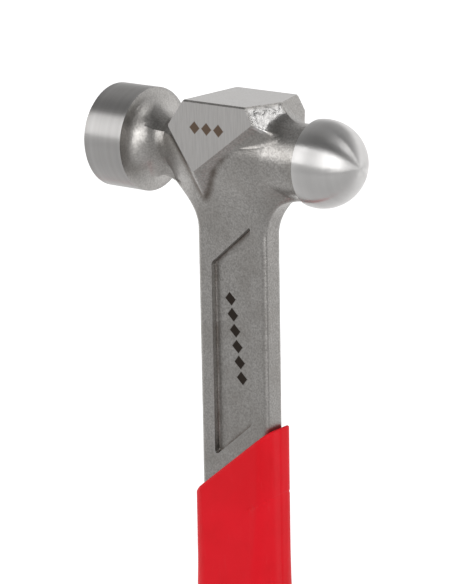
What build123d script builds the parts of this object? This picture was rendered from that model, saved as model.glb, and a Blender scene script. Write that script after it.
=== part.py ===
from build123d import *
from math import cos, radians, sin, tan
import os

# Ball peen hammer: a one-piece steel forging (striking face, ball, shank and hidden tang)
# with a grip moulded round the tang.  All sizes are in millimetres.
# Frame: origin at the centre of the flat butt face, +Z up the shank to the head,
# +X along the head towards the ball, Y through the broad faces of the shank.

# ---- overall ----
overall_length = 335.0
top_rise = 16.2                       # flat on top of the head, above the head axis
head_z = overall_length - top_rise    # height of the head axis

# ---- striking end, turned about the head axis ----
face_x = -47.0                        # middle of the crowned striking face
face_crown = 0.35
face_chamfer = 0.9
land_radius = 15.65
land_rear_x = -31.8
neck_radius = 7.1                     # narrowest, close behind the land
dish_depth = 3.6                      # the land's rear wall is dished towards the neck
dish_fillet = 3.0

# ---- ball end, turned about the same axis ----
ball_x = 31.4                         # centre of the ball
ball_radius = 12.8
ball_rim_x = 29.3                     # the turned ball begins here
ball_middle_angle = 40.0              # a point half-way round the ball's outline
ball_neck_radius = 10.8
ball_neck_x = 26.0
barrel_radius = 10.0                  # forged bar through the middle of the head
barrel_x = -3.2                       # the face-side neck has widened to the bar here

# ---- centre block with the two ground cheeks ----
cheek_y = 12.7                        # half the distance across the ground cheeks
face_edge_x = -9.5                    # edge of the top flat towards the striking face
face_facet_tilt = 37.0                # facets lean out below the top flat
ball_edge_x = 16.6                    # point of the top flat towards the ball
ball_facet_tilt = 30.0
ball_facet_sweep = 17.5               # the ball-side facets meet at a point in plan
apex = (-6.6, -4.9)                   # lowest corner of a ground cheek
ball_corner = (14.6, 10.7)
face_corner = (-14.9, 7.0)
wall_draft = 43.0                     # slope of the walls under a cheek
blank_size = 80.0                     # the block before its facets are ground

# ---- shoulder and shank ----
shank_width = 25.4
shank_thickness = 8.0
shank_edge_radius = 1.5
fillet_drop = 18.0                    # the rounded edges stop this far below the head axis
web_foot_z = -24.3                    # the shank sides turn parallel here
face_web_radius = 12.8
face_web_angle = 70.0
ball_web_radius = 13.9
shoulder_arc_radius = 23.5
shoulder_arc_angle = 29.0
shoulder_half_thickness = 8.8
keel_half_thickness = 3.5             # the webs narrow in plan to this under the necks
keel_x = 23.0
waist_x = 10.0                        # and begin to narrow here
face_keel_end_x = -36.0               # the face-side keel ends inside the land
edge_tolerance = 0.1                  # an edge this near a flat side belongs to it

# ---- pockets in the broad faces of the shank ----
pocket_width = 14.8
pocket_depth = 2.0
pocket_draft = 12.0
pocket_top_z = -27.4                  # at the middle of the shank
pocket_bottom_z = -87.8
pocket_slope = 0.86                   # both ends are cut on the slant
pocket_corner_radius = 1.0

# ---- tang, hidden in the grip ----
shank_end_z = 200.0
tang_width = 17.0
tang_thickness = 6.0
tang_end_z = 34.0
tang_taper_length = 8.0
tang_hole_radius = 3.0
tang_hole_spacing = 45.0
tang_hole_z = 115.0

# ---- grip ----
collar_z = 224.6                      # slanted top of the grip at the middle of the shank
collar_slope = 0.84
skin_thickness = 2.4
sleeve_thickness = 1.2
sleeve_bottom_z, sleeve_top_z = 50.0, 188.0
core_top_z = 198.0
cap_height = 20.0
cap_edge_radius = 4.0
socket_depth = 11.0
socket_wall = 6.0
pad_bottom_z, pad_top_z = 42.0, 178.0
pad_width = 21.0
pad_corner_radius = 5.0
collar_edge_radius = 1.2

# Grip outline: height above the butt, width, thickness and corner radius
grip_stations = [
    (0.0, 38.0, 27.5, 11.5),
    (22.0, 38.0, 27.5, 11.5),
    (60.0, 32.5, 25.0, 10.5),
    (110.0, 35.0, 27.0, 11.5),
    (160.0, 31.0, 21.5, 9.0),
    (205.0, 29.2, 15.2, 5.0),
    (250.0, 29.0, 13.4, 3.6),
]

head_plane = Plane(origin=(0, 0, head_z), x_dir=(1, 0, 0), z_dir=(0, -1, 0))
side_plane = Plane(origin=(0, 0, head_z), x_dir=(0, 1, 0), z_dir=(1, 0, 0))
head_axis = Axis((0, 0, head_z), (1, 0, 0))
mid_plane = Plane(origin=(0, 0, 0), x_dir=(1, 0, 0), z_dir=(0, -1, 0))


def facet(point, normal):
    """A cutting plane of the centre block; the point is measured from the head axis."""
    x, y, z = point
    return Plane(origin=(x, y, head_z + z), z_dir=normal)


def cheek_wall(corner, side):
    """The sloping wall that runs from the cheek's apex to one of its side corners."""
    run, rise = corner[0] - apex[0], corner[1] - apex[1]
    length = (run**2 + rise**2) ** 0.5
    turn = 1 if run > 0 else -1
    out_x, out_z = turn * rise / length, -turn * run / length
    lean = cos(radians(wall_draft))
    normal = (out_x * lean, side * sin(radians(wall_draft)), out_z * lean)
    return facet((apex[0], side * cheek_y, apex[1]), normal)


# ================= centre block =================
sweep, tilt = radians(ball_facet_sweep), radians(ball_facet_tilt)
face_tilt = radians(face_facet_tilt)
block_planes = [
    facet((0, 0, top_rise), (0, 0, 1)),
    facet((face_edge_x, 0, top_rise), (-cos(face_tilt), 0, sin(face_tilt))),
]
for side in (-1, 1):
    ball_normal = (cos(sweep) * cos(tilt), side * sin(sweep) * cos(tilt), sin(tilt))
    block_planes.append(facet((ball_edge_x, 0, top_rise), ball_normal))
    block_planes.append(cheek_wall(ball_corner, side))
    block_planes.append(cheek_wall(face_corner, side))

with BuildPart() as centre_block:
    with Locations((0, 0, head_z)):
        Box(blank_size, 2 * cheek_y, blank_size)
    for plane in block_planes:
        split(bisect_by=plane, keep=Keep.BOTTOM)

# ================= shoulder and shank =================
half_width = shank_width / 2
half_thickness = shank_thickness / 2
shank_foot = shank_end_z - head_z
web_turn = radians(face_web_angle)
face_web_x = -half_width - face_web_radius
face_web_end = (
    face_web_x + face_web_radius * cos(web_turn),
    web_foot_z + face_web_radius * sin(web_turn),
)
keel_run = face_web_end[0] - face_keel_end_x
keel_end = (face_keel_end_x, face_web_end[1] + keel_run / tan(web_turn))
ball_web_end = (half_width + ball_web_radius, web_foot_z + ball_web_radius)
shoulder_turn = radians(shoulder_arc_angle)
shoulder_bend = (
    half_thickness + shoulder_arc_radius * (1 - cos(shoulder_turn)),
    web_foot_z + shoulder_arc_radius * sin(shoulder_turn),
)
shoulder_rise = (shoulder_half_thickness - shoulder_bend[0]) / tan(shoulder_turn)
shoulder_top = (shoulder_half_thickness, shoulder_bend[1] + shoulder_rise)

with BuildPart() as shank:
    with BuildSketch(head_plane) as front_outline:
        with BuildLine():
            left = Line((0, shank_foot), (-half_width, shank_foot))
            left = Line(left @ 1, (-half_width, web_foot_z))
            left = RadiusArc(left @ 1, face_web_end, -face_web_radius)
            left = Line(left @ 1, keel_end)
            left = Line(left @ 1, (keel_end[0], 0))
            right = Line((0, shank_foot), (half_width, shank_foot))
            right = Line(right @ 1, (half_width, web_foot_z))
            right = RadiusArc(right @ 1, ball_web_end, ball_web_radius)
            right = Line(right @ 1, (ball_web_end[0], 0))
            Line(left @ 1, right @ 1)
        make_face()
    extrude(amount=cheek_y, both=True)
    with BuildSketch(side_plane) as side_outline:
        with BuildLine():
            edge = Line((0, shank_foot), (half_thickness, shank_foot))
            edge = Line(edge @ 1, (half_thickness, web_foot_z))
            edge = RadiusArc(edge @ 1, shoulder_bend, shoulder_arc_radius)
            edge = Line(edge @ 1, shoulder_top)
            edge = Line(edge @ 1, (shoulder_half_thickness, 0))
            Line(edge @ 1, (0, 0))
            Line((0, 0), (0, shank_foot))
        make_face()
        mirror(about=Plane.YZ)
    extrude(amount=blank_size, both=True, mode=Mode.INTERSECT)
    with BuildSketch(Plane.XY.offset(head_z)) as plan_outline:
        with BuildLine():
            edge = Line((keel_end[0], 0), (keel_end[0], keel_half_thickness))
            edge = Line(edge @ 1, (-keel_x, keel_half_thickness))
            edge = Line(edge @ 1, (-waist_x, shoulder_half_thickness))
            edge = Line(edge @ 1, (waist_x, shoulder_half_thickness))
            edge = Line(edge @ 1, (keel_x, keel_half_thickness))
            edge = Line(edge @ 1, (ball_web_end[0], keel_half_thickness))
            edge = Line(edge @ 1, (ball_web_end[0], 0))
            Line(edge @ 1, (keel_end[0], 0))
        make_face()
        mirror(about=Plane.XZ)
    extrude(amount=head_z, both=True, mode=Mode.INTERSECT)
    side_edges = shank.edges().filter_by(
        lambda edge: abs(edge.center().X) > half_width - edge_tolerance
        and abs(edge.center().Y) > half_thickness - edge_tolerance
        and edge.center().Z < head_z - fillet_drop
        and abs(edge.tangent_at(0.5).Y) < abs(edge.tangent_at(0.5).Z)
    )
    fillet(side_edges, radius=shank_edge_radius)

# ================= forging =================
rim_step = (ball_radius**2 - (ball_x - ball_rim_x) ** 2) ** 0.5
pole = (ball_x + ball_radius, 0)
chamfer_start = (face_x + face_crown, land_radius - face_chamfer)
crown_middle = (face_x + face_crown / 4, chamfer_start[1] / 2)
ball_turn = radians(ball_middle_angle)
over_ball = (ball_x + ball_radius * sin(ball_turn), ball_radius * cos(ball_turn))
neck_outline = [
    (land_rear_x, land_radius),
    (land_rear_x - dish_depth, neck_radius),
    (barrel_x, barrel_radius),
]

with BuildPart() as hammer_forging:
    with BuildSketch(head_plane) as bar_profile:
        with BuildLine():
            edge = ThreePointArc((face_x, 0), crown_middle, chamfer_start)
            edge = Line(edge @ 1, (face_x + face_crown + face_chamfer, land_radius))
            edge = Line(edge @ 1, (land_rear_x, land_radius))
            edge = FilletPolyline(*neck_outline, radius=dish_fillet)
            edge = Line(edge @ 1, (ball_neck_x, ball_neck_radius))
            edge = Line(edge @ 1, (ball_rim_x, ball_neck_radius))
            edge = Line(edge @ 1, (ball_rim_x, rim_step))
            edge = ThreePointArc(edge @ 1, over_ball, pole)
            Line(edge @ 1, (face_x, 0))
        make_face()
    revolve(axis=head_axis)
    add(centre_block.part)
    add(shank.part)
    # tang: narrows below the collar, then runs on inside the grip
    with BuildSketch(mid_plane) as tang_outline:
        with BuildLine():
            edge = Line((0, shank_end_z), (half_width, shank_end_z))
            edge = Line(edge @ 1, (tang_width / 2, shank_end_z - tang_taper_length))
            edge = Line(edge @ 1, (tang_width / 2, tang_end_z))
            edge = Line(edge @ 1, (0, tang_end_z))
            Line(edge @ 1, (0, shank_end_z))
        make_face()
        mirror(about=Plane.YZ)
    extrude(amount=tang_thickness / 2, both=True)
    with BuildSketch(mid_plane) as tang_hole_pattern:
        with Locations((0, tang_hole_z)):
            with GridLocations(0, tang_hole_spacing, 1, 3):
                Circle(tang_hole_radius)
    extrude(amount=tang_thickness, both=True, mode=Mode.SUBTRACT)
    # slanted pocket in each broad face of the shank
    for side in (-1, 1):
        pocket_plane = Plane(
            origin=(0, side * half_thickness, head_z), x_dir=(1, 0, 0), z_dir=(0, -1, 0)
        )
        drop = pocket_slope * pocket_width / 2
        with BuildSketch(pocket_plane) as pocket_outline:
            with BuildLine():
                Polyline(
                    (-pocket_width / 2, pocket_bottom_z - drop),
                    (pocket_width / 2, pocket_bottom_z + drop),
                    (pocket_width / 2, pocket_top_z + drop),
                    (-pocket_width / 2, pocket_top_z - drop),
                    close=True,
                )
            make_face()
            fillet(pocket_outline.vertices(), radius=pocket_corner_radius)
        extrude(amount=side * pocket_depth, taper=pocket_draft, mode=Mode.SUBTRACT)

# ================= grip =================


def grip_loft(inset, bottom_z, top_z):
    """The grip's outline, inset all round, between two heights."""
    with BuildPart() as body:
        for height, width, thickness, corner in grip_stations:
            with BuildSketch(Plane.XY.offset(height)):
                RectangleRounded(width - 2 * inset, thickness - 2 * inset, corner - inset)
        loft()
        split(bisect_by=Plane.XY.offset(bottom_z), keep=Keep.TOP)
        split(bisect_by=Plane.XY.offset(top_z), keep=Keep.BOTTOM)
    return body.part


def rounded_block(width, thickness, corner, bottom_z, top_z):
    """An upright block with rounded corners, centred on the shank."""
    with BuildPart() as block:
        with BuildSketch(Plane.XY.offset(bottom_z)):
            RectangleRounded(width, thickness, corner)
        extrude(amount=top_z - bottom_z)
    return block.part


outer_form = grip_loft(0, 0, grip_stations[-1][0])
inner_form = grip_loft(skin_thickness, cap_height, core_top_z)
collar_plane = Plane(origin=(0, 0, collar_z), z_dir=(-collar_slope, 0, 1))

# slanted window for the palm pads, through both broad faces
with BuildPart() as pad_window:
    with BuildSketch(mid_plane) as pad_outline:
        drop = pocket_slope * pad_width / 2
        with BuildLine():
            Polyline(
                (-pad_width / 2, pad_bottom_z - drop),
                (pad_width / 2, pad_bottom_z + drop),
                (pad_width / 2, pad_top_z + drop),
                (-pad_width / 2, pad_top_z - drop),
                close=True,
            )
        make_face()
        fillet(pad_outline.vertices(), radius=pad_corner_radius)
    extrude(amount=shank_width, both=True)

# soft liner between the tang and the rigid core
with BuildPart() as tang_damping_sleeve:
    sleeve_width = tang_width + 2 * sleeve_thickness
    sleeve_depth = tang_thickness + 2 * sleeve_thickness
    add(rounded_block(sleeve_width, sleeve_depth, sleeve_thickness, sleeve_bottom_z, sleeve_top_z))
    add(hammer_forging.part, mode=Mode.SUBTRACT)
    with BuildSketch(mid_plane):
        add(tang_hole_pattern.sketch)
    extrude(amount=sleeve_depth, both=True, mode=Mode.SUBTRACT)

# rigid core, moulded round the sleeve and through the tang holes
with BuildPart() as grip_core:
    add(inner_form)
    spigot_width = grip_stations[0][1] - 2 * socket_wall
    spigot_thickness = grip_stations[0][2] - 2 * socket_wall
    spigot_bottom_z = cap_height - socket_depth
    add(rounded_block(spigot_width, spigot_thickness, socket_wall, spigot_bottom_z, cap_height))
    add(tang_damping_sleeve.part, mode=Mode.SUBTRACT)
    add(hammer_forging.part, mode=Mode.SUBTRACT)

# soft skin over the core, with its slanted collar on the shank
with BuildPart() as red_grip_skin:
    add(outer_form)
    split(bisect_by=Plane.XY.offset(cap_height), keep=Keep.TOP)
    split(bisect_by=collar_plane, keep=Keep.BOTTOM)
    fillet(red_grip_skin.faces().sort_by(Axis.Z)[-1].edges(), radius=collar_edge_radius)
    add(inner_form, mode=Mode.SUBTRACT)
    add(hammer_forging.part, mode=Mode.SUBTRACT)
    add(pad_window.part, mode=Mode.SUBTRACT)

palm_pads = {}
for name, side in (("front_palm_pad", Keep.TOP), ("back_palm_pad", Keep.BOTTOM)):
    with BuildPart() as palm_pad:
        add(outer_form)
        add(inner_form, mode=Mode.SUBTRACT)
        add(pad_window.part, mode=Mode.INTERSECT)
        split(bisect_by=Plane.XZ, keep=side)
    palm_pads[name] = palm_pad

with BuildPart() as butt_cap:
    add(outer_form)
    split(bisect_by=Plane.XY.offset(cap_height), keep=Keep.BOTTOM)
    fillet(butt_cap.faces().sort_by(Axis.Z)[0].edges(), radius=cap_edge_radius)
    add(grip_core.part, mode=Mode.SUBTRACT)

# ================= finished pieces =================
pieces = {
    "hammer_forging": hammer_forging,
    "tang_damping_sleeve": tang_damping_sleeve,
    "grip_core": grip_core,
    "red_grip_skin": red_grip_skin,
    "butt_cap": butt_cap,
    **palm_pads,
}
os.makedirs("parts", exist_ok=True)
for label, piece in pieces.items():
    piece.part.label = label
    export_step(piece.part, f"parts/{label}.step")
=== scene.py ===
"""Ball peen hammer: a forged steel head and shank with turned ends, in a red moulded grip."""

import bpy
from math import cos, hypot, radians, sin

import numpy as np
from mathutils import Matrix, Vector


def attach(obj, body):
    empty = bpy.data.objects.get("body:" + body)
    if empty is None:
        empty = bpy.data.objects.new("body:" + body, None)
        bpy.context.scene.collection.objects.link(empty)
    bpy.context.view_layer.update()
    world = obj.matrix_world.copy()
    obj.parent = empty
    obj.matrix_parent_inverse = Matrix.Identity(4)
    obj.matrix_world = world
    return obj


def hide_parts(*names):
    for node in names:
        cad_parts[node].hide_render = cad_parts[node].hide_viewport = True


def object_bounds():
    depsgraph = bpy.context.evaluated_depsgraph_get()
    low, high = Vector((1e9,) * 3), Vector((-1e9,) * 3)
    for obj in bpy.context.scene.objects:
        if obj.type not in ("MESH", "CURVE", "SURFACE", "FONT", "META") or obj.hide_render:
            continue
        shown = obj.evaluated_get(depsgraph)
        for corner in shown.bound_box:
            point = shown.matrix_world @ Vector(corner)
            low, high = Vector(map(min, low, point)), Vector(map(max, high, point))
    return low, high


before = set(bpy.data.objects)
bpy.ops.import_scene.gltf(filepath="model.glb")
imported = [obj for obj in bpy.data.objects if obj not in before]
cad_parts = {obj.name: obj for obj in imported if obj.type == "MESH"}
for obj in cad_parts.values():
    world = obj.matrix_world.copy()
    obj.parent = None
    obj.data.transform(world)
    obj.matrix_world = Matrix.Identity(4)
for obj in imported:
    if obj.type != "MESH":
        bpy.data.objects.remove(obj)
cad_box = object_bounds()

MM = 0.001

# ---------------------------------------------------------------- camera
VIEW_AZIMUTH, VIEW_ELEVATION, VIEW_ROLL = 38.02, 15.35, -0.80
VIEW_DISTANCE = 0.7133
VIEW_TARGET = Vector((0.01074, 0.0, 0.27487))
LENS = 149.67
SHIFT_X, SHIFT_Y = -0.0726, 0.0170


def make_camera():
    """The camera stands off the target in front of the ball side, a little above the head."""
    azimuth, elevation, roll = radians(VIEW_AZIMUTH), radians(VIEW_ELEVATION), radians(VIEW_ROLL)
    back = Vector((sin(azimuth) * cos(elevation), -cos(azimuth) * cos(elevation), sin(elevation)))
    level = Vector((cos(azimuth), sin(azimuth), 0))
    right = level * cos(roll) + back.cross(level) * sin(roll)
    up = back.cross(right)
    data = bpy.data.cameras.new("camera")
    data.lens = LENS
    data.shift_x, data.shift_y = SHIFT_X, SHIFT_Y
    data.clip_start, data.clip_end = 0.05, 50
    camera = bpy.data.objects.new("camera", data)
    place = Matrix((right, up, back)).transposed().to_4x4()
    place.translation = VIEW_TARGET + back * VIEW_DISTANCE
    camera.matrix_world = place
    bpy.context.scene.collection.objects.link(camera)
    bpy.context.scene.camera = camera


# ---------------------------------------------------------------- node helpers
class Nodes:
    """Short calls for building a node tree. A value may be a number or another node's output."""

    def __init__(self, tree):
        self.tree = tree
        self.shader = tree.nodes.get("Principled BSDF")

    def link(self, value, socket):
        if isinstance(value, (int, float)):
            socket.default_value = value
        elif isinstance(value, tuple):
            socket.default_value = (*value, 1) if socket.type == "RGBA" else value
        else:
            self.tree.links.new(value, socket)

    def make(self, kind, inputs=None, **settings):
        node = self.tree.nodes.new("ShaderNode" + kind)
        for name, value in settings.items():
            setattr(node, name, value)
        for name, value in (inputs or {}).items():
            self.link(value, node.inputs[name])
        return node

    def coordinates(self, kind="Object"):
        return self.make("TexCoord").outputs[kind]

    def split(self, vector):
        return self.make("SeparateXYZ", {0: vector}).outputs

    def join(self, x, y, z):
        return self.make("CombineXYZ", {0: x, 1: y, 2: z}).outputs[0]

    def math(self, operation, a, b=0.0):
        return self.make("Math", {0: a, 1: b}, operation=operation).outputs[0]

    def range(self, value, low, high, to_low, to_high):
        """The value taken from low..high to to_low..to_high along a smooth step."""
        inputs = {"Value": value, "From Min": low, "From Max": high, "To Min": to_low, "To Max": to_high}
        node = self.make("MapRange", inputs, interpolation_type="SMOOTHSTEP")
        return node.outputs["Result"]

    def noise(self, vector, size, detail=2.0, seed=0.0, stretch=(1, 1, 1)):
        """Noise of 0 to 1 whose lumps are about `size` across, or more along a stretched axis."""
        scale = tuple(1 / (size * s) for s in stretch)
        inputs = {"Vector": vector, "Location": (seed, seed, seed), "Scale": scale}
        scaled = self.make("Mapping", inputs).outputs[0]
        return self.make("TexNoise", {"Vector": scaled, "Scale": 1.0, "Detail": detail}).outputs["Fac"]

    def attribute(self, name):
        return self.make("Attribute", attribute_name=name).outputs["Fac"]

    def mix(self, share, a, b):
        node = self.make("Mix", data_type="RGBA")
        self.link(share, node.inputs["Factor"])
        self.link(a, node.inputs[6])
        self.link(b, node.inputs[7])
        return node.outputs[2]

    def bump(self, height, depth):
        inputs = {"Height": height, "Distance": depth, "Strength": 1.0}
        self.link(self.make("Bump", inputs).outputs[0], self.shader.inputs["Normal"])


def new_material(name, colour, metallic, roughness):
    """A plain material, whose sockets can then be driven by nodes."""
    material = bpy.data.materials.new(name)
    material.use_nodes = True
    shader = material.node_tree.nodes["Principled BSDF"]
    shader.inputs["Base Color"].default_value = (*colour, 1)
    shader.inputs["Metallic"].default_value = metallic
    shader.inputs["Roughness"].default_value = roughness
    return material


# ---------------------------------------------------------------- studio
FLOOR_HALF = 12.0
FRONT_LEVEL, BACK_LEVEL, OVERHEAD_SHARE = 0.45, 1.05, 0.35
FLOOR_FRONT_LEVEL = FRONT_LEVEL - 0.1
LIGHT_TARGET, LIGHT_DISTANCE = Vector((0, 0, 0.30)), 1.2


def area_light(name, towards, size_x, size_y, watts):
    """A softbox that hangs in the direction `towards` from the hammer and faces it."""
    light = bpy.data.lights.new(name, "AREA")
    light.shape = "RECTANGLE"
    light.size, light.size_y = size_x, size_y
    light.energy = watts
    lamp = bpy.data.objects.new(name, light)
    direction = Vector(towards).normalized()
    lamp.location = LIGHT_TARGET + direction * LIGHT_DISTANCE
    lamp.rotation_mode = "QUATERNION"
    lamp.rotation_quaternion = (-direction).to_track_quat("-Z", "Y")
    lamp.visible_camera = False
    bpy.context.scene.collection.objects.link(lamp)


def towards_back(n, direction):
    """How far a direction or place lies towards the back of the room, as the camera first stands."""
    x, y, _ = n.split(direction)
    azimuth = radians(VIEW_AZIMUTH)
    across, ahead = n.math("MULTIPLY", x, -sin(azimuth)), n.math("MULTIPLY", y, cos(azimuth))
    return n.math("ADD", across, ahead)


def make_world():
    """A pale room, white behind the hammer, greyer in front of it and darker overhead."""
    world = bpy.data.worlds.new("studio")
    bpy.context.scene.world = world
    world.use_nodes = True
    n = Nodes(world.node_tree)
    direction = n.coordinates("Generated")
    walls = n.range(towards_back(n, direction), -0.05, 0.60, FRONT_LEVEL, BACK_LEVEL)
    overhead = n.range(n.split(direction)[2], 0.28, 0.62, 1.0, OVERHEAD_SHARE)
    background = world.node_tree.nodes["Background"]
    background.inputs["Color"].default_value = (1, 1, 1, 1)
    n.link(n.math("MULTIPLY", walls, overhead), background.inputs["Strength"])


def make_floor():
    """A wide pale floor that glows like the walls, so that it has no visible horizon."""
    mesh = bpy.data.meshes.new("floor")
    s = FLOOR_HALF
    mesh.from_pydata([(-s, -s, 0), (s, -s, 0), (s, s, 0), (-s, s, 0)], [], [(0, 1, 2, 3)])
    floor = bpy.data.objects.new("floor", mesh)
    bpy.context.scene.collection.objects.link(floor)
    material = new_material("floor_paint", (0.25, 0.25, 0.25), 0.0, 0.9)
    n = Nodes(material.node_tree)
    place = towards_back(n, n.coordinates())
    glow = n.range(place, -0.20, 0.62, FLOOR_FRONT_LEVEL, BACK_LEVEL)
    n.link(glow, n.shader.inputs["Emission Strength"])
    n.shader.inputs["Emission Color"].default_value = (1, 1, 1, 1)
    mesh.materials.append(material)


make_camera()
make_world()
make_floor()
area_light("key_softbox", (-0.55, -0.74, 0.42), 0.45, 0.85, 3.2)
area_light("front_softbox", (0.68, -0.62, 0.36), 0.70, 0.90, 3.6)
area_light("side_softbox", (0.76, 0.33, 0.56), 0.40, 0.40, 0.9)
area_light("right_softbox", (0.93, -0.33, 0.16), 0.35, 0.80, 2.2)
bpy.context.scene.view_settings.view_transform = "Standard"

# ---------------------------------------------------------------- forging: its shape
# Lengths of the forging are in millimetres from the crossing of the head's axis and the shank's axis.
# Each function gives the distance outside its shape, below zero inside it.
TOP_RISE, CHEEK_Y, FLATS_REACH_X, FLATS_CHAMFER = 16.2, 12.7, 24, 0.35
HEAD_AXIS_Z = cad_box[1][2] - TOP_RISE * MM

# The turned land and striking face, the neck behind them, and the ball with its neck.
LAND_RADIUS, LAND_REAR_X = 15.65, -31.8
FACE_X, FACE_CROWN, FACE_CHAMFER = -46.65, 0.35, 0.9
NECK_RADIUS, NECK_X, NECK_SLOPE, NECK_BEND = 6.9, -26.0, 0.15, 5.0
LAND_FILLET, LAND_REAR_SLOPE, NECK_SINK = 8.4, 0.03, 6.0
BALL_X, BALL_RADIUS, BALL_RIM_X, BALL_FILLET = 31.4, 12.8, 29.3, 0.6
BALL_NECK_RADIUS, BALL_NECK_SLOPE = 10.0, 0.03
NECKS_MEET_X, NECKS_OVERLAP, WEB_FILLET = -3.2, 1.0, 4.0

# The centre block: x and z of the cheek's three lower corners, then its facets and sloping walls.
APEX, BALL_CORNER, FACE_CORNER = (-6.6, -4.9), (14.6, 10.7), (-14.9, 7.0)
FACE_EDGE_X, FACE_FACET_TILT = -9.5, 37
BALL_EDGE_X, BALL_FACET_TILT, BALL_FACET_SWEEP = 16.6, 30, 17.5
WALL_DRAFT, WALL_RIDGE_RADIUS, FACET_EDGE_RADIUS = 43, 0.6, 0.5
BLOCK_FILLET, BLOCK_FILLET_GROWTH = 0.5, 2.5
GROOVE_DEPTH, GROOVE_REACH = 0.08, 1.3

# The shank with its webs and shoulders, its pockets, and the tang inside the grip.
HALF_WIDTH, HALF_THICKNESS, SIDE_EDGE_RADIUS = 12.7, 4.0, 1.5
WEB_FOOT_Z, WEB_FACE_END, WEB_BALL_END = -24.3, -33, 27
FACE_WEB_RADIUS, FACE_WEB_ANGLE = 12.8, 70.0
BALL_WEB_RADIUS, BALL_WEB_ANGLE = 13.9, 84
SHOULDER_RADIUS, SHOULDER_ANGLE = 23.5, 30.5
SHOULDER_HALF, SHOULDER_EDGE_RADIUS, SHOULDER_TOP_Z = 9.2, 6.0, 2.0
WAIST, WAIST_X, WAIST_RISE, WAIST_MOST = 0.022, 7.0, 14.0, 5.4
POCKET_HALF, POCKET_DEPTH, POCKET_DRAFT = 7.4, 2.0, 0.12
POCKET_TOP, POCKET_BOTTOM, POCKET_SLOPE = -27.4, -87.8, 0.86
POCKET_LOW_RADIUS, POCKET_HIGH_RADIUS, POCKET_FLOOR_RADIUS = 1.6, 0.6, 0.35
SHANK_END, TANG_END = -118.8, -284.8
TANG_HALF_WIDTH, TANG_HALF_THICKNESS = 8.5, 3.0
TANG_HOLES, TANG_HOLE_RADIUS = (-158.8, -203.8, -248.8), 3.0

# Unevenness of the surface: each pair is its height and the size of its lumps.
CHISEL_COARSE, CHISEL_FINE, SKIN_RELIEF = (0.08, 1.5), (0.05, 0.7), (0.025, 2.6)
CHISEL_STRETCH, CHISEL_INNER_RADIUS, CHISEL_BAND = (0.3, 1, 1), 12.2, 1.2
CHISEL_AXES = np.array([(0.25, 0.97, 0.0), (-0.62, 0.16, 0.77), (0.75, -0.19, 0.64)])
LATTICE = 32

# How far each painted shade, stain or wear reaches from the edge or corner that it follows.
HOLLOW_REACH, EDGE_REACH, SEAM_REACH, CORNER_REACH = 2.2, 0.9, 1.1, 0.7

FORGING_CELL = 0.54
FORGING_BOXES = (
    ((-48, -16.5, -33), (45, 16.5, 17)),
    ((-14, -5, -120), (14, 5, -32)),
    ((-10, -4, -286), (10, 4, -118)),
)
TURNED, GROUND, FORGED = 0, 1, 2


def blend(a, b, r):
    """Two shapes joined with a fillet of radius r."""
    u, v = np.maximum(r - a, 0), np.maximum(r - b, 0)
    return np.maximum(r, np.minimum(a, b)) - np.sqrt(u * u + v * v)


def common(a, b, r):
    """What two shapes have in common, with its edge rounded to radius r."""
    u, v = np.maximum(r + a, 0), np.maximum(r + b, 0)
    return np.minimum(-r, np.maximum(a, b)) + np.sqrt(u * u + v * v)


def half_space(x, y, z, point, normal):
    """The distance above a plane, along its normal."""
    nx, ny, nz = np.array(normal, float) / np.linalg.norm(normal)
    return (x - point[0]) * nx + (y - point[1]) * ny + (z - point[2]) * nz


def cheek_wall(x, y, z, corner):
    """The sloping wall under one lower edge of a cheek, from the apex to a corner."""
    run, rise = corner[0] - APEX[0], corner[1] - APEX[1]
    length = hypot(run, rise)
    side = 1 if run > 0 else -1
    lean = cos(radians(WALL_DRAFT))
    normal = (side * rise / length * lean, sin(radians(WALL_DRAFT)), -side * run / length * lean)
    return half_space(x, y, z, (APEX[0], CHEEK_Y, APEX[1]), normal)


def ball_facet(x, y, z):
    """The swept-back facet between the top and one cheek, on the ball's side."""
    sweep, tilt = radians(BALL_FACET_SWEEP), radians(BALL_FACET_TILT)
    normal = (cos(sweep) * cos(tilt), sin(sweep) * cos(tilt), sin(tilt))
    return half_space(x, y, z, (BALL_EDGE_X, 0, TOP_RISE), normal)


def centre_block(x, y, z):
    """The block between the necks, without its ground top and cheeks."""
    tilt = radians(FACE_FACET_TILT)
    face_facet = half_space(x, y, z, (FACE_EDGE_X, 0, TOP_RISE), (-cos(tilt), 0, sin(tilt)))
    facets = common(face_facet, ball_facet(x, y, z), FACET_EDGE_RADIUS)
    ball_wall, face_wall = cheek_wall(x, y, z, BALL_CORNER), cheek_wall(x, y, z, FACE_CORNER)
    walls = common(ball_wall, face_wall, WALL_RIDGE_RADIUS)
    return common(facets, walls, FACET_EDGE_RADIUS)


def hollow_side(across, z, half, radius, angle):
    """A straight side at `half` that turns outward above the web's foot on a hollow arc.

    The arc runs through `angle` degrees and then goes on straight.
    """
    turn = radians(angle)
    centre, above = half + radius, z - WEB_FOOT_Z
    arc = radius - np.hypot(across - centre, above)
    end_across, end_above = centre - radius * cos(turn), radius * sin(turn)
    run = (across - end_across) * cos(turn) - (above - end_above) * sin(turn)
    side = np.where(above < 0, across - half, arc)
    past = (centre - across) * sin(turn) < above * cos(turn)
    return np.where((above >= 0) & past, run, side)


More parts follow.
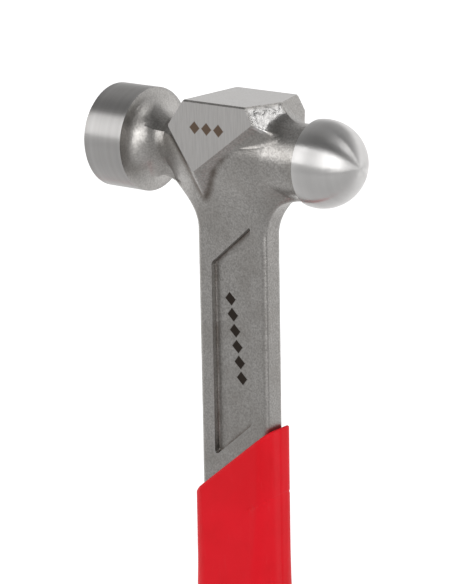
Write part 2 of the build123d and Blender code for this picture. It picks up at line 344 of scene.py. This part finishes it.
def shank(x, y, z):
    """The flat shank, which widens into the webs and the shoulders under the head."""
    ball_side = hollow_side(x, z, HALF_WIDTH, BALL_WEB_RADIUS, BALL_WEB_ANGLE)
    face_side = hollow_side(-x, z, HALF_WIDTH, FACE_WEB_RADIUS, FACE_WEB_ANGLE)
    outline = np.maximum(ball_side, face_side)
    rise = np.clip((z - WEB_FOOT_Z) / WAIST_RISE, 0, 1)
    waisted = y + np.minimum(WAIST * np.maximum(np.abs(x) - WAIST_X, 0) ** 2, WAIST_MOST) * rise
    sides = hollow_side(waisted, z, HALF_THICKNESS, SHOULDER_RADIUS, SHOULDER_ANGLE)
    sides = common(sides, waisted - SHOULDER_HALF, SHOULDER_EDGE_RADIUS)
    body = common(outline, sides, SIDE_EDGE_RADIUS)
    ends = np.maximum(x - WEB_BALL_END, WEB_FACE_END - x)
    return np.maximum(body, np.maximum(z - SHOULDER_TOP_Z, ends))


def pocket_outline(x, y, z):
    """The pocket's drafted walls: two upright sides and two slanted ends."""
    lean = hypot(1, POCKET_SLOPE)
    top_end = (z - POCKET_TOP - POCKET_SLOPE * x) / lean
    bottom_end = (POCKET_BOTTOM + POCKET_SLOPE * x - z) / lean
    outline = common(np.abs(x) - POCKET_HALF, bottom_end, POCKET_LOW_RADIUS)
    outline = common(outline, top_end, POCKET_HIGH_RADIUS)
    return outline + (HALF_THICKNESS - y) * POCKET_DRAFT


def pocket(x, y, z):
    """The shallow slanted pocket in one broad face of the shank."""
    floor = HALF_THICKNESS - POCKET_DEPTH - y
    return common(pocket_outline(x, y, z), floor, POCKET_FLOOR_RADIUS)


def tang(x, y, z):
    """The part of the bar inside the grip, with its holes."""
    bar = np.maximum(np.abs(x) - TANG_HALF_WIDTH, y - TANG_HALF_THICKNESS)
    bar = np.maximum(bar, np.maximum(z - SHANK_END, TANG_END - z))
    for hole in TANG_HOLES:
        bar = np.maximum(bar, TANG_HOLE_RADIUS - np.hypot(x, z - hole))
    return bar


def land(x, r):
    """The turned striking end."""
    face = FACE_X - FACE_CROWN * (1 - (r / LAND_RADIUS) ** 2) - x
    chamfer = (r - LAND_RADIUS + FACE_CHAMFER - (x - FACE_X)) / hypot(1, 1)
    rear = (x - LAND_REAR_X + LAND_REAR_SLOPE * (LAND_RADIUS - r)) / hypot(1, LAND_REAR_SLOPE)
    return np.maximum(np.maximum(r - LAND_RADIUS, rear), np.maximum(face, chamfer))


def bar_and_shank(x, y, z):
    """The forged bar along the head with the shank under it, without the centre block."""
    r = np.hypot(y, z)
    past = np.maximum(x - NECK_X, 0)
    face_neck = r - NECK_RADIUS - NECK_SLOPE * past**2 / (past + NECK_BEND)
    face_neck = np.maximum(face_neck, np.maximum(x - NECKS_MEET_X, FACE_X + NECK_SINK - x))
    end = land(x, r)
    filleted = blend(face_neck, end, LAND_FILLET)
    face_neck = np.where(r < LAND_RADIUS, filleted, np.minimum(face_neck, end))
    ball_neck = r - BALL_NECK_RADIUS - BALL_NECK_SLOPE * x
    ball_neck_ends = np.maximum(NECKS_MEET_X - NECKS_OVERLAP - x, x - BALL_RIM_X - NECKS_OVERLAP)
    ball_neck = np.maximum(ball_neck, ball_neck_ends)
    return blend(np.minimum(face_neck, ball_neck), shank(x, y, z), WEB_FILLET)


def forging(points):
    """The whole forging. The seam under the block softens towards the ball's side and the top."""
    x, y, z = points[..., 0], np.abs(points[..., 1]), points[..., 2]
    r = np.hypot(y, z)
    ball = np.maximum(np.sqrt((x - BALL_X) ** 2 + r * r) - BALL_RADIUS, BALL_RIM_X - x)
    block = centre_block(x, y, z)
    rise = np.clip((x + z - 10) / 10, 0, 1)
    groove = GROOVE_DEPTH * np.exp(-((np.maximum(block, 0) / GROOVE_REACH) ** 2)) * (1 - rise)
    fillet = BLOCK_FILLET + BLOCK_FILLET_GROWTH * rise
    body = blend(bar_and_shank(x, y, z) + groove, block, fillet)
    body = blend(body, ball, BALL_FILLET)
    flats = np.maximum(z - TOP_RISE, y - CHEEK_Y)
    chamfer = (z - TOP_RISE + y - CHEEK_Y) / hypot(1, 1) + FLATS_CHAMFER
    flats = np.maximum(flats, chamfer)
    body = np.where(np.abs(x) < FLATS_REACH_X, np.maximum(body, flats), body)
    body = np.maximum(body, SHANK_END - z)
    body = np.maximum(body, -pocket(x, y, z))
    return np.minimum(body, tang(x, y, z))


def lumps(points, size, seed):
    """Smooth seeded noise of -1 to 1 with lumps of about `size`."""
    lattice = np.random.default_rng(seed).uniform(-1, 1, (LATTICE, LATTICE, LATTICE))
    cell = np.floor(points / size).astype(int)
    share = points / size - cell
    share = share * share * (3 - 2 * share)
    total = 0
    for dx, dy, dz in np.ndindex(2, 2, 2):
        corner = (cell + (dx, dy, dz)) % LATTICE
        weight = np.prod(np.where((dx, dy, dz), share, 1 - share), axis=-1)
        total = total + weight * lattice[corner[..., 0], corner[..., 1], corner[..., 2]]
    return total


def chiselled(points):
    """1 on the rough ball-side facet of the near cheek, fading at its edges."""
    x, y, z = points[..., 0], points[..., 1], points[..., 2]
    off_plane = np.abs(ball_facet(x, -y, z))
    under_flats = np.minimum(TOP_RISE - z, CHEEK_Y + y)
    above_neck = np.minimum(-y, np.hypot(y, z) - CHISEL_INNER_RADIUS)
    inside = np.minimum(under_flats, above_neck)
    return np.clip(inside - 0.2, 0, 1) * (off_plane < CHISEL_BAND)


def forging_skin(points):
    """The forging with the small unevenness of its surface."""
    smooth = forging(points)
    rough = np.abs(smooth) < 1.5
    near = points[rough]
    stroke = near @ CHISEL_AXES * CHISEL_STRETCH
    fine = CHISEL_FINE[0] * lumps(stroke, CHISEL_FINE[1], 1)
    coarse = CHISEL_COARSE[0] * lumps(stroke, CHISEL_COARSE[1], 2)
    blasted = SKIN_RELIEF[0] * lumps(near, SKIN_RELIEF[1], 3)
    smooth[rough] += (fine + coarse) * chiselled(near) + blasted * as_forged(near)
    return smooth


def seam(points):
    """1 where the centre block runs into the bar and the shank, and in the pocket's corners: the mask of
    the painted crease shade.
    """
    x, y, z = points[..., 0], np.abs(points[..., 1]), points[..., 2]
    gap = np.hypot(bar_and_shank(x, y, z) + GROOVE_DEPTH, centre_block(x, y, z))
    block_seam = np.clip(1 - gap / SEAM_REACH, 0, 1) * np.clip((8 - x - z) / 6, 0, 1)
    corner = np.hypot(pocket_outline(x, y, z), y - HALF_THICKNESS + POCKET_DEPTH)
    return np.maximum(block_seam, np.clip(1.2 - corner / CORNER_REACH, 0, 1) * 0.8)


def as_forged(points):
    """1 on the blasted skin, 0 on turned and ground surfaces."""
    x, y, z = points[..., 0], points[..., 1], points[..., 2]
    turned = (x < LAND_REAR_X + 0.3) | (x > BALL_RIM_X - 0.3)
    flats = (z > TOP_RISE - 0.6) | (np.abs(y) > CHEEK_Y - 0.6)
    return 1.0 - (turned | flats)


# ---------------------------------------------------------------- a mesh from a distance function
def surface_normals(field, points, step=0.02):
    """The direction in which the field rises fastest at each point."""
    slope = np.empty_like(points)
    for axis in range(3):
        shift = np.zeros(3)
        shift[axis] = step
        slope[:, axis] = field(points + shift) - field(points - shift)
    return slope / np.maximum(np.linalg.norm(slope, axis=1, keepdims=True), 1e-9)


def sample(field, boxes, cell):
    """The field on a grid over the boxes, and the grid's lowest corner. Outside the boxes it reads 1."""
    low = np.min([box[0] for box in boxes], axis=0) - cell / 2
    high = np.max([box[1] for box in boxes], axis=0)
    counts = np.ceil((high - low) / cell).astype(int) + 2
    values = np.ones(counts)
    for box in boxes:
        first = np.maximum(((np.array(box[0]) - low) / cell).astype(int), 0)
        last = np.minimum(((np.array(box[1]) - low) / cell).astype(int) + 2, counts)
        axes = [low[a] + cell * np.arange(first[a], last[a]) for a in range(3)]
        for i, x in enumerate(axes[0]):
            slab = np.stack(np.meshgrid([x], axes[1], axes[2], indexing="ij"), -1)[0]
            values[first[0] + i, first[1]:last[1], first[2]:last[2]] = field(slab)
    return values, low


def crossings(field, values, low, cell, axis):
    """Where the surface cuts the grid's lines along one axis: the points, and the four cells round each."""
    inside = values < 0
    here = [slice(1, -1)] * 3
    ahead = list(here)
    ahead[axis] = slice(2, None)
    start = np.argwhere(inside[tuple(here)] != inside[tuple(ahead)]) + 1
    end = start.copy()
    end[:, axis] += 1
    va, vb = values[tuple(start.T)], values[tuple(end.T)]
    near, far, value_near, value_far = np.zeros(len(va)), np.ones(len(va)), va, vb
    for _ in range(3):
        share = near + (far - near) * value_near / (value_near - value_far)
        points = low + cell * start
        points[:, axis] += cell * share
        value = field(points)
        same = (value < 0) == (va < 0)
        near, value_near = np.where(same, share, near), np.where(same, value, value_near)
        far, value_far = np.where(same, far, share), np.where(same, value_far, value)
    strides = np.array([values.shape[1] * values.shape[2], values.shape[2], 1])
    base = start @ strides
    u, v = strides[(axis + 1) % 3], strides[(axis + 2) % 3]
    return points, np.stack([base, base - u, base - u - v, base - v], 1), va < 0


def dual_contour(field, boxes, cell):
    """A quad mesh of the surface field = 0, with one vertex in each cell so that edges stay sharp."""
    values, low = sample(field, boxes, cell)
    found = [crossings(field, values, low, cell, axis) for axis in range(3)]
    points, cells, outward = (np.concatenate(part) for part in zip(*found))
    normals = surface_normals(field, points)
    used, index = np.unique(cells, return_inverse=True)
    index = index.reshape(cells.shape)

    def gathered(weights):
        return np.bincount(index.ravel(), weights=np.repeat(weights, 4), minlength=len(used))

    count = gathered(np.ones(len(points)))
    mean = np.stack([gathered(points[:, a]) / count for a in range(3)], 1)
    offset = (normals * points).sum(1)
    right = np.stack([gathered(normals[:, a] * offset) for a in range(3)], 1)
    matrix = np.stack([np.stack([gathered(normals[:, a] * normals[:, b]) for b in range(3)], 1)
                       for a in range(3)], 1)
    right -= np.einsum("nab,nb->na", matrix, mean)
    vertices = mean + np.linalg.solve(matrix + 0.02 * np.eye(3), right[..., None])[..., 0]
    corner = np.stack(np.unravel_index(used, values.shape), 1) * cell + low
    vertices = np.clip(vertices, corner, corner + cell)
    faces = np.where(outward[:, None], index, index[:, ::-1])
    return vertices, faces


def mesh_object(name, vertices, faces, origin):
    """A Blender object from millimetre vertices, with its origin at the frame's own."""
    mesh = bpy.data.meshes.new(name)
    mesh.vertices.add(len(vertices))
    mesh.vertices.foreach_set("co", (vertices * MM + np.array(origin)).astype(np.float32).ravel())
    mesh.loops.add(faces.size)
    mesh.loops.foreach_set("vertex_index", faces.astype(np.int32).ravel())
    mesh.polygons.add(len(faces))
    mesh.polygons.foreach_set("loop_start", np.arange(0, faces.size, faces.shape[1], dtype=np.int32))
    mesh.update(calc_edges=True)
    mesh.validate()
    piece = bpy.data.objects.new(name, mesh)
    bpy.context.scene.collection.objects.link(piece)
    return piece


def set_corner_normals(piece, field, vertices, faces):
    """Shading normals from the field, read a little inside each face so that edges stay crisp."""
    centre = vertices[faces].mean(1)
    corners = vertices[faces] * 0.8 + centre[:, None] * 0.2
    normals = surface_normals(field, corners.reshape(-1, 3))
    piece.data.normals_split_custom_set(normals)


# ---------------------------------------------------------------- forging: its piece
def paint(piece, name, values):
    """A value for each vertex that materials read by name."""
    layer = piece.data.attributes.new(name, "FLOAT", "POINT")
    layer.data.foreach_set("value", values.astype(np.float32))


def make_forging():
    """The forging as one piece, with a finish for each face and the values that painted shade, stains and
    wear follow.
    """
    vertices, faces = dual_contour(forging_skin, FORGING_BOXES, FORGING_CELL)
    piece = mesh_object("forged_head_and_shank", vertices, faces, (0, 0, HEAD_AXIS_Z))
    set_corner_normals(piece, forging_skin, vertices, faces)
    centre = vertices[faces].mean(1)
    x, y, z = centre.T
    r = np.hypot(y, z)
    on_land = ((x < LAND_REAR_X) & (r > LAND_RADIUS - 0.05)) | (x < FACE_X + FACE_CHAMFER)
    turned = on_land | (x > BALL_RIM_X + 0.02)
    ground = (np.abs(x) < FLATS_REACH_X) & ((z > TOP_RISE - 0.02) | (np.abs(y) > CHEEK_Y - 0.02))
    finish = np.where(turned, TURNED, np.where(ground, GROUND, FORGED)).astype(np.int32)
    piece.data.polygons.foreach_set("material_index", finish)
    normals = surface_normals(forging, vertices)
    # The hollow and seam values mask painted shade that is partly a stain; the edge value masks wear.
    hollow = 1 - forging(vertices + normals * HOLLOW_REACH) / HOLLOW_REACH
    edge = 1 + forging(vertices - normals * EDGE_REACH) / EDGE_REACH
    paint(piece, "hollow", np.clip(hollow * 1.6 - 0.35, 0, 1))
    paint(piece, "edge", np.clip(edge * 1.8 - 0.2, 0, 1))
    paint(piece, "chiselled", chiselled(vertices))
    paint(piece, "seam", seam(vertices))
    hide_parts("hammer_forging")
    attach(piece, "root")
    return piece


hammer = make_forging()


# ---------------------------------------------------------------- steel finishes
# Etched lozenges: a row of three on each cheek, and a leaning row of six in each pocket.
CHEEK_ROW_Z, CHEEK_ROW_X, CHEEK_PITCH, CHEEK_HALF = HEAD_AXIS_Z + 8.4 * MM, -5.5 * MM, 4.4 * MM, 1.9 * MM
POCKET_ROW_Z, POCKET_ROW_LEAN, POCKET_PITCH = HEAD_AXIS_Z - 56.5 * MM, -0.16, 4.8 * MM
POCKET_LOZENGE = (2.1 * MM, 2.0 * MM)


def turned_steel():
    """Bright steel off the lathe: fine rings round the head's axis, which spread reflections along it."""
    material = new_material("turned_steel", (0.55, 0.54, 0.53), 1.0, 0.42)
    n = Nodes(material.node_tree)
    n.shader.inputs["Anisotropic"].default_value = 1.0
    x, y, z = n.split(n.coordinates())
    height = n.math("SUBTRACT", z, HEAD_AXIS_Z)
    radius = n.math("SQRT", n.math("ADD", n.math("POWER", y, 2.0), n.math("POWER", height, 2.0)))
    radial_y = n.math("DIVIDE", n.math("MULTIPLY", y, -1.0), radius)
    radial_z = n.math("DIVIDE", n.math("MULTIPLY", height, -1.0), radius)
    n.link(n.join(0.5, radial_y, radial_z), n.shader.inputs["Tangent"])
    along = n.join(n.math("SUBTRACT", x, radius), 0.0, 0.0)
    rings = n.noise(along, 0.35 * MM, 4.0)
    bands = n.noise(along, 2.4 * MM, 3.0, seed=4.0)
    tone = n.math("MULTIPLY", n.range(bands, 0.3, 0.7, 0.0, 1.0), n.range(rings, 0.2, 0.8, 0.7, 1.0))
    steel = n.mix(tone, (0.56, 0.548, 0.538), (0.64, 0.63, 0.62))
    polish = n.range(x, -1.0 * MM, 1.0 * MM, 0.0, 1.0)
    steel = n.mix(n.math("MULTIPLY", polish, 0.6), steel, (0.80, 0.79, 0.78))
    n.link(steel, n.shader.inputs["Base Color"])
    rough = n.math("SUBTRACT", n.range(bands, 0.3, 0.7, 0.43, 0.40), n.math("MULTIPLY", polish, 0.10))
    n.link(rough, n.shader.inputs["Roughness"])
    n.bump(rings, 0.006 * MM)
    return material


def lozenge_row(n, along, across, start, pitch, count, half_length, half_width):
    """1 inside a row of `count` plain lozenges, spaced `pitch` apart from `start`."""
    place = n.math("DIVIDE", n.math("SUBTRACT", along, start), pitch)
    nearest = n.math("MINIMUM", n.math("MAXIMUM", n.math("ROUND", place), 0.0), count - 1.0)
    offset = n.math("MULTIPLY", n.math("ABSOLUTE", n.math("SUBTRACT", place, nearest)), pitch / half_length)
    width = n.math("DIVIDE", n.math("ABSOLUTE", across), half_width)
    return n.range(n.math("ADD", offset, width), 0.9, 1.1, 1.0, 0.0)


def ground_steel():
    """The centre block's flats: fine upright scratches, and three etched lozenges on each cheek."""
    material = new_material("ground_steel", (0.42, 0.41, 0.40), 1.0, 0.36)
    n = Nodes(material.node_tree)
    place = n.coordinates()
    x, y, z = n.split(place)
    scratches = n.noise(place, 0.22 * MM, 3.0, stretch=(1, 1, 30))
    patches = n.noise(place, 5 * MM, 3.0, seed=2.0)
    steel = n.mix(n.range(scratches, 0.3, 0.7, 0.0, 1.0), (0.50, 0.487, 0.476), (0.60, 0.586, 0.573))
    steel = n.mix(n.range(patches, 0.35, 0.75, 0.0, 0.2), steel, (0.50, 0.48, 0.46))
    upright = n.math("SUBTRACT", z, CHEEK_ROW_Z)
    etched = lozenge_row(n, x, upright, CHEEK_ROW_X, CHEEK_PITCH, 3, CHEEK_HALF, CHEEK_HALF)
    on_cheek = n.range(n.math("ABSOLUTE", y), 12.4 * MM, 12.6 * MM, 0.0, 1.0)
    etched = n.math("MULTIPLY", etched, on_cheek)
    n.link(n.mix(etched, steel, (0.16, 0.115, 0.085)), n.shader.inputs["Base Color"])
    rough = n.math("ADD", n.range(scratches, 0.3, 0.7, 0.40, 0.33), n.math("MULTIPLY", etched, 0.15))
    n.link(rough, n.shader.inputs["Roughness"])
    n.bump(n.math("SUBTRACT", scratches, etched), 0.012 * MM)
    return material


def forged_steel():
    """Blasted forging skin: a fine grain, painted shade tinted warm brown in its hollows and seams, painted
    light on the neck near the land, and brighter worn edges.
    """
    material = new_material("forged_steel", (0.25, 0.243, 0.236), 1.0, 0.38)
    n = Nodes(material.node_tree)
    place = n.coordinates()
    x, y, z = n.split(place)
    grain = n.noise(place, 0.55 * MM, 3.0)
    pits = n.noise(place, 1.6 * MM, 2.0, seed=7.0)
    clouds = n.noise(place, 9 * MM, 4.0, seed=3.0)
    steel = n.mix(n.range(grain, 0.25, 0.75, 0.0, 1.0), (0.31, 0.298, 0.285), (0.50, 0.485, 0.467))
    steel = n.mix(n.range(clouds, 0.35, 0.70, 0.0, 0.35), steel, (0.27, 0.250, 0.228))
    # Painted shade in the hollows: the measured cavity darkens the steel to warm brown in cloudy patches,
    # partly a stain and partly painted shade.
    hollow_shade_and_stain = n.math("MULTIPLY", n.attribute("hollow"), n.range(clouds, 0.45, 0.70, 0.0, 0.3))
    steel = n.mix(hollow_shade_and_stain, steel, (0.13, 0.095, 0.070))
    # Painted shade along the block's seam and in the pocket's corners: dark brown lines that stand in for
    # the creases' shadow, with a little brown stain.
    crease_shade_and_stain = n.math("MULTIPLY", n.attribute("seam"), n.range(clouds, 0.35, 0.60, 0.55, 0.95))
    steel = n.mix(crease_shade_and_stain, steel, (0.09, 0.066, 0.050))
    # Painted light: the neck and the land's rear dish are lightened towards pale steel from x = -26 mm to
    # -30 mm, standing in for light reflected into them.
    steel = n.mix(n.range(x, -26 * MM, -30 * MM, 0.0, 0.25), steel, (0.78, 0.76, 0.735))
    wear = n.math("MULTIPLY", n.attribute("edge"), 0.6)
    steel = n.mix(wear, steel, (0.42, 0.41, 0.40))
    steel = n.mix(n.attribute("chiselled"), steel, (0.60, 0.59, 0.58))
    middle = n.math("MULTIPLY", n.math("SUBTRACT", z, POCKET_ROW_Z), POCKET_ROW_LEAN)
    middle = n.math("SUBTRACT", x, middle)
    lowest = POCKET_ROW_Z - 2.5 * POCKET_PITCH
    etched = lozenge_row(n, z, middle, lowest, POCKET_PITCH, 6, *POCKET_LOZENGE)
    on_floor = n.range(n.math("ABSOLUTE", y), 2.2 * MM, 2.6 * MM, 1.0, 0.0)
    etched = n.math("MULTIPLY", etched, on_floor)
    n.link(n.mix(etched, steel, (0.045, 0.036, 0.030)), n.shader.inputs["Base Color"])
    smoother = n.math("MULTIPLY", n.attribute("chiselled"), 0.08)
    rough = n.math("SUBTRACT", n.range(pits, 0.3, 0.7, 0.39, 0.31), smoother)
    n.link(rough, n.shader.inputs["Roughness"])
    n.bump(n.math("ADD", grain, n.math("MULTIPLY", pits, 0.6)), 0.05 * MM)
    return material


for finish in (turned_steel(), ground_steel(), forged_steel()):
    hammer.data.materials.append(finish)

# ---------------------------------------------------------------- grip: its shape
# Lengths of the grip are in millimetres from the middle of the butt face.
# Each station has a height, and the width, thickness and corner radius of the outline there.
STATION_Z = np.array([0.0, 22.0, 60.0, 110.0, 160.0, 190.0, 212.0, 250.0])
STATION_SIZES = np.array([
    (38.0, 27.5, 11.5), (38.0, 27.5, 11.5), (32.5, 25.0, 10.5), (35.0, 27.0, 11.5),
    (31.0, 21.5, 9.0), (29.4, 17.2, 6.4), (29.2, 15.0, 4.8), (29.2, 13.6, 3.8),
])
SKIN_THICKNESS, CORE_TOP, CAP_TOP = 2.4, 198.0, 20.0
COLLAR_Z, COLLAR_SLOPE, COLLAR_EDGE = 224.6, 0.84, 0.9
PAD_HALF, PAD_BOTTOM, PAD_TOP, PAD_CORNER = 10.5, 42.0, 178.0, 5.0
PAD_GAP, PAD_EDGE, RIB_PITCH, RIB_DEPTH = 0.12, 0.6, 4.2, 0.55
CREASE_X, CREASE_Z, CREASE_TURN, CREASE_DEPTH = 5.0, 219.3, 52.0, 0.45
CREASE_SLOPE, CREASE_FADE_Z, CREASE_END_X = 0.06, 185, 14
PARTING_HEIGHT, PARTING_WIDTH = 0.12, 0.25
LINE_X, LINE_Z, LINE_SLOPE, LINE_DEPTH, LINE_WIDTH = 8, 211.6, 0.62, 0.22, 0.35
RED_CELL, PAD_CELL = 0.8, 0.55
RED_BOX = ((-20.5, -15, 19.4), (20.5, 15, 239))
PAD_BOX_HALF, PAD_BOX_Z, PAD_BOX_DEPTH = 11, (31, 189), 9.6


def grip_form(x, y, z):
    """The grip's outline: rounded rectangles whose sizes run smoothly from station to station."""
    span = np.clip(np.searchsorted(STATION_Z, z) - 1, 0, len(STATION_Z) - 2)
    reach = np.diff(STATION_Z)[span]
    t = (z - STATION_Z[span]) / reach
    slopes = np.gradient(STATION_SIZES, STATION_Z, axis=0)
    sizes = []
    for column in range(3):
        start, end = STATION_SIZES[span, column], STATION_SIZES[span + 1, column]
        leave, arrive = slopes[span, column] * reach, slopes[span + 1, column] * reach
        bend = (2 * t**3 - 3 * t**2) * (start - end) + start
        sizes.append(bend + (t**3 - 2 * t**2 + t) * leave + (t**3 - t**2) * arrive)
    width, thickness, corner = sizes
    past_x = np.abs(x) - width / 2 + corner
    past_y = np.abs(y) - thickness / 2 + corner
    outside = np.hypot(np.maximum(past_x, 0), np.maximum(past_y, 0))
    return outside + np.minimum(np.maximum(past_x, past_y), 0) - corner


def pad_window(x, z, margin):
    """The slanted outline of a palm pad, grown by a margin."""
    lean = hypot(1, POCKET_SLOPE)
    ends = np.maximum(z - PAD_TOP - POCKET_SLOPE * x, PAD_BOTTOM + POCKET_SLOPE * x - z) / lean
    return common(np.abs(x) - PAD_HALF, ends, PAD_CORNER) - margin


def red_skin(points):
    """The soft skin: slanted collar, a shallow crease and a fine line on each face, a parting line."""
    x, y, z = points[..., 0], np.abs(points[..., 1]), points[..., 2]
    form = grip_form(x, y, z)
    turn = radians(CREASE_TURN)
    beside = (x - CREASE_X) * sin(turn) - (z - CREASE_Z) * cos(turn)
    fall = np.clip(beside * CREASE_SLOPE, 0, CREASE_DEPTH) * np.clip((z - CREASE_FADE_Z) / 20, 0, 1)
    outer = form + fall * np.clip((CREASE_END_X - x) / 6, 0, 1)
    outer = outer - PARTING_HEIGHT * np.exp(-((y / PARTING_WIDTH) ** 2)) * (np.abs(x) > 10)
    collar = (z - COLLAR_Z - COLLAR_SLOPE * x) / hypot(1, COLLAR_SLOPE)
    skin = common(outer, collar, COLLAR_EDGE)
    skin = common(skin, CAP_TOP + PAD_GAP - z, 0.4)
    skin = common(skin, -pad_window(x, z, PAD_GAP), 0.5)
    beside_line = z - LINE_Z - LINE_SLOPE * (x - LINE_X)
    line = LINE_DEPTH * np.exp(-((beside_line / LINE_WIDTH) ** 2))
    skin = skin + np.where(x > LINE_X - 1, line, 0)
    core = np.maximum(form + SKIN_THICKNESS, z - CORE_TOP)
    bar = common(np.abs(x) - HALF_WIDTH, y - HALF_THICKNESS, SIDE_EDGE_RADIUS) - 0.05
    return np.maximum(skin, -np.minimum(core, bar))


def palm_pad(points):
    """One palm pad, ribbed on the slant inside a plain border."""
    x, y, z = points[..., 0], np.abs(points[..., 1]), points[..., 2]
    form = grip_form(x, y, z)
    window = pad_window(x, z, -PAD_GAP)
    wave = np.cos(2 * np.pi * (z - POCKET_SLOPE * x) / RIB_PITCH)
    ribs = RIB_DEPTH * np.clip(0.5 - 1.4 * wave, 0, 1) * np.clip((-window - 2.2) / 0.8, 0, 1)
    pad = common(form + ribs, window, PAD_EDGE)
    return np.maximum(pad, -(form + SKIN_THICKNESS))


def grip_piece(name, field, box, cell, node, finish):
    """One moulded piece of the grip, in the place of its CAD node."""
    vertices, faces = dual_contour(field, [box], cell)
    piece = mesh_object(name, vertices, faces, (0, 0, 0))
    set_corner_normals(piece, field, vertices, faces)
    piece.data.materials.append(finish)
    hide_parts(node)
    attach(piece, "root")


# ---------------------------------------------------------------- grip: its finishes
def red_rubber():
    """Satin moulded rubber: a fine spark-eroded grain, faint flow clouds and scuffs."""
    material = new_material("red_rubber", (0.86, 0.006, 0.016), 0.0, 0.5)
    n = Nodes(material.node_tree)
    place = n.coordinates()
    grain = n.noise(place, 0.28 * MM, 3.0)
    clouds = n.noise(place, 14 * MM, 4.0, seed=5.0)
    colour = n.mix(n.range(clouds, 0.3, 0.7, 0.0, 1.0), (0.82, 0.005, 0.014), (0.90, 0.006, 0.018))
    scuffs = n.noise(place, 1.1 * MM, 4.0, seed=9.0, stretch=(1, 1, 6))
    colour = n.mix(n.range(scuffs, 0.60, 0.80, 0.0, 0.10), colour, (0.80, 0.10, 0.10))
    n.link(colour, n.shader.inputs["Base Color"])
    n.link(n.range(grain, 0.3, 0.7, 0.62, 0.50), n.shader.inputs["Roughness"])
    n.shader.inputs["Specular IOR Level"].default_value = 0.2
    n.bump(grain, 0.014 * MM)
    return material


def dark_moulding(name, colour, roughness, grain_size):
    """A dark moulding with an eroded grain, slightly paler where it has been rubbed."""
    material = new_material(name, colour, 0.0, roughness)
    n = Nodes(material.node_tree)
    place = n.coordinates()
    grain = n.noise(place, grain_size, 3.0)
    rubbed = n.noise(place, 12 * MM, 5.0, seed=6.0)
    paler = tuple(min(1.0, 1.7 * part + 0.004) for part in colour)
    n.link(n.mix(n.range(rubbed, 0.35, 0.75, 0.0, 0.6), colour, paler), n.shader.inputs["Base Color"])
    n.link(n.range(grain, 0.3, 0.7, roughness + 0.08, roughness - 0.06), n.shader.inputs["Roughness"])
    n.bump(grain, 0.03 * MM)
    return material


grip_piece("red_skin", red_skin, RED_BOX, RED_CELL, "red_grip_skin", red_rubber())
black_rubber = dark_moulding("black_rubber", (0.030, 0.030, 0.032), 0.62, 0.4 * MM)
for node, low_y in (("front_palm_pad", -14.6), ("back_palm_pad", 5.0)):
    low = (-PAD_BOX_HALF, low_y, PAD_BOX_Z[0])
    high = (PAD_BOX_HALF, low_y + PAD_BOX_DEPTH, PAD_BOX_Z[1])
    grip_piece("ribbed_" + node, palm_pad, (low, high), PAD_CELL, node, black_rubber)

kept_nodes = {
    "butt_cap": dark_moulding("cap_plastic", (0.045, 0.045, 0.047), 0.48, 0.5 * MM),
    "grip_core": dark_moulding("core_plastic", (0.07, 0.07, 0.075), 0.5, 0.6 * MM),
    "tang_damping_sleeve": dark_moulding("damping_liner", (0.11, 0.11, 0.11), 0.75, 0.7 * MM),
}
for node, finish in kept_nodes.items():
    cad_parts[node].data.materials.clear()
    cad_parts[node].data.materials.append(finish)
